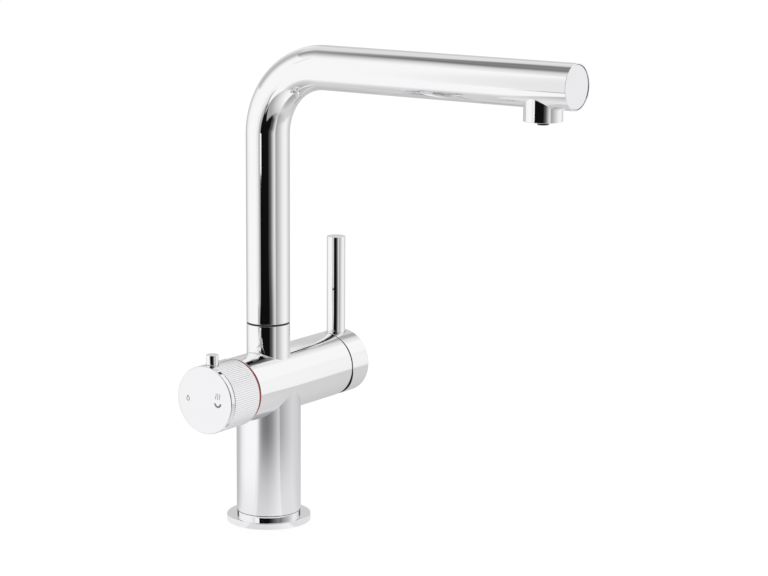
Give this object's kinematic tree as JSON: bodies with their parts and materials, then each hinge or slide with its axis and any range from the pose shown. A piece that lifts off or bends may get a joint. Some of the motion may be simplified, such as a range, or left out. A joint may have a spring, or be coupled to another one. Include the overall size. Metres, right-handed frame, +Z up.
{
  "type": "boiling water tap",
  "caption": "Chrome kitchen tap with an L-shaped swivel spout, a tilting mixer lever on one side and a knurled boiling water knob with a safety button on the other.",
  "frame": {"origin": "centre of the foot, on the worktop plane", "axes": "+Z up, the spout points to -Y, the knob to -X and the lever cap to +X"},
  "size_m": [0.1686, 0.289, 0.356],
  "materials": {
    "chrome": "polished chrome plate on brass",
    "brass": "machined brass",
    "copper": "drawn copper tube",
    "steel": "plain stainless steel",
    "rubber": "black rubber",
    "black_plastic": "black moulded plastic",
    "red_plastic": "red moulded plastic",
    "white_plastic": "white acetal",
    "grey_plastic": "grey moulded plastic",
    "ceramic": "lapped ceramic",
    "silicone": "translucent white silicone"
  },
  "bodies": {
    "body": {"base_flange": "chrome", "tap_body": "chrome", "base_plug": "brass", "boiling_riser_pin": "brass", "valve_bonnet": "brass", "cartridge_nut": "brass", "hot_pipe": "copper", "cold_pipe": "copper", "boiling_pipe": "copper", "filtered_pipe": "copper", "spout_grub_screw": "steel", "worktop_seal": "rubber", "column_seal": "rubber", "valve_seat_seal": "rubber", "spindle_o_ring": "rubber", "cartridge_seal": "rubber", "swivel_ring": "black_plastic", "red_ring": "red_plastic", "thrust_washer": "white_plastic", "stop_ring": "white_plastic", "cartridge_base": "grey_plastic", "cartridge_housing": "grey_plastic", "valve_fixed_disc": "ceramic", "cartridge_fixed_disc": "ceramic"},
    "spout": {"spout_tube": "chrome", "spout_end_cap": "chrome", "swivel_spigot": "brass", "spigot_o_ring_lower": "rubber", "spigot_o_ring_upper": "rubber", "boiling_hose": "silicone", "hose_ferrule": "steel", "aerator_insert": "grey_plastic", "boiling_nozzle": "black_plastic", "outlet_o_ring": "rubber"},
    "knob": {"knob_sleeve": "chrome", "knob_cap": "chrome", "knob_hub": "grey_plastic", "knob_screw": "steel", "valve_spindle": "brass", "spindle_circlip": "steel", "valve_moving_disc": "ceramic", "button_spring": "steel"},
    "button": {"safety_button": "chrome"},
    "mixer_rotor": {"stem_rotor": "white_plastic", "stem_pin": "steel"},
    "lever": {"lever_stem": "steel", "lever_cap": "chrome", "lever_rod": "chrome", "lever_grub_screw": "steel"},
    "mixer_disc": {"disc_carrier": "white_plastic", "cartridge_moving_disc": "ceramic"}
  },
  "joints": [
    {"name": "spout_swivel", "type": "hinge", "parent": "body", "child": "spout", "pos_m": [0, 0, 0.15], "axis": [0, 0, 1], "range_deg": [-75, 75]},
    {"name": "knob_turn", "type": "hinge", "parent": "body", "child": "knob", "pos_m": [-0.056, 0, 0.105], "axis": [1, 0, 0], "range_deg": [-90, 90]},
    {"name": "button_press", "type": "slide", "parent": "knob", "child": "button", "axis": [0, 0, -1], "range_m": [0, 0.0025], "stiffness_N_per_m": 600, "springref_m": -0.002, "deforming": ["button_spring"]},
    {"name": "lever_turn", "type": "hinge", "parent": "body", "child": "mixer_rotor", "pos_m": [0.052, 0, 0.105], "axis": [1, 0, 0], "range_deg": [-45, 45]},
    {"name": "lever_tilt", "type": "hinge", "parent": "mixer_rotor", "child": "lever", "pos_m": [0.052, 0, 0.105], "axis": [0, 1, 0], "range_deg": [0, 12]},
    {"name": "disc_slide", "type": "slide", "parent": "mixer_rotor", "child": "mixer_disc", "axis": [0, 0, 1], "range_m": [0, 0.0024]}
  ],
  "couplings": [
    {"joint": "disc_slide", "follows": "lever_tilt", "m_per_rad": 0.0105}
  ]
}
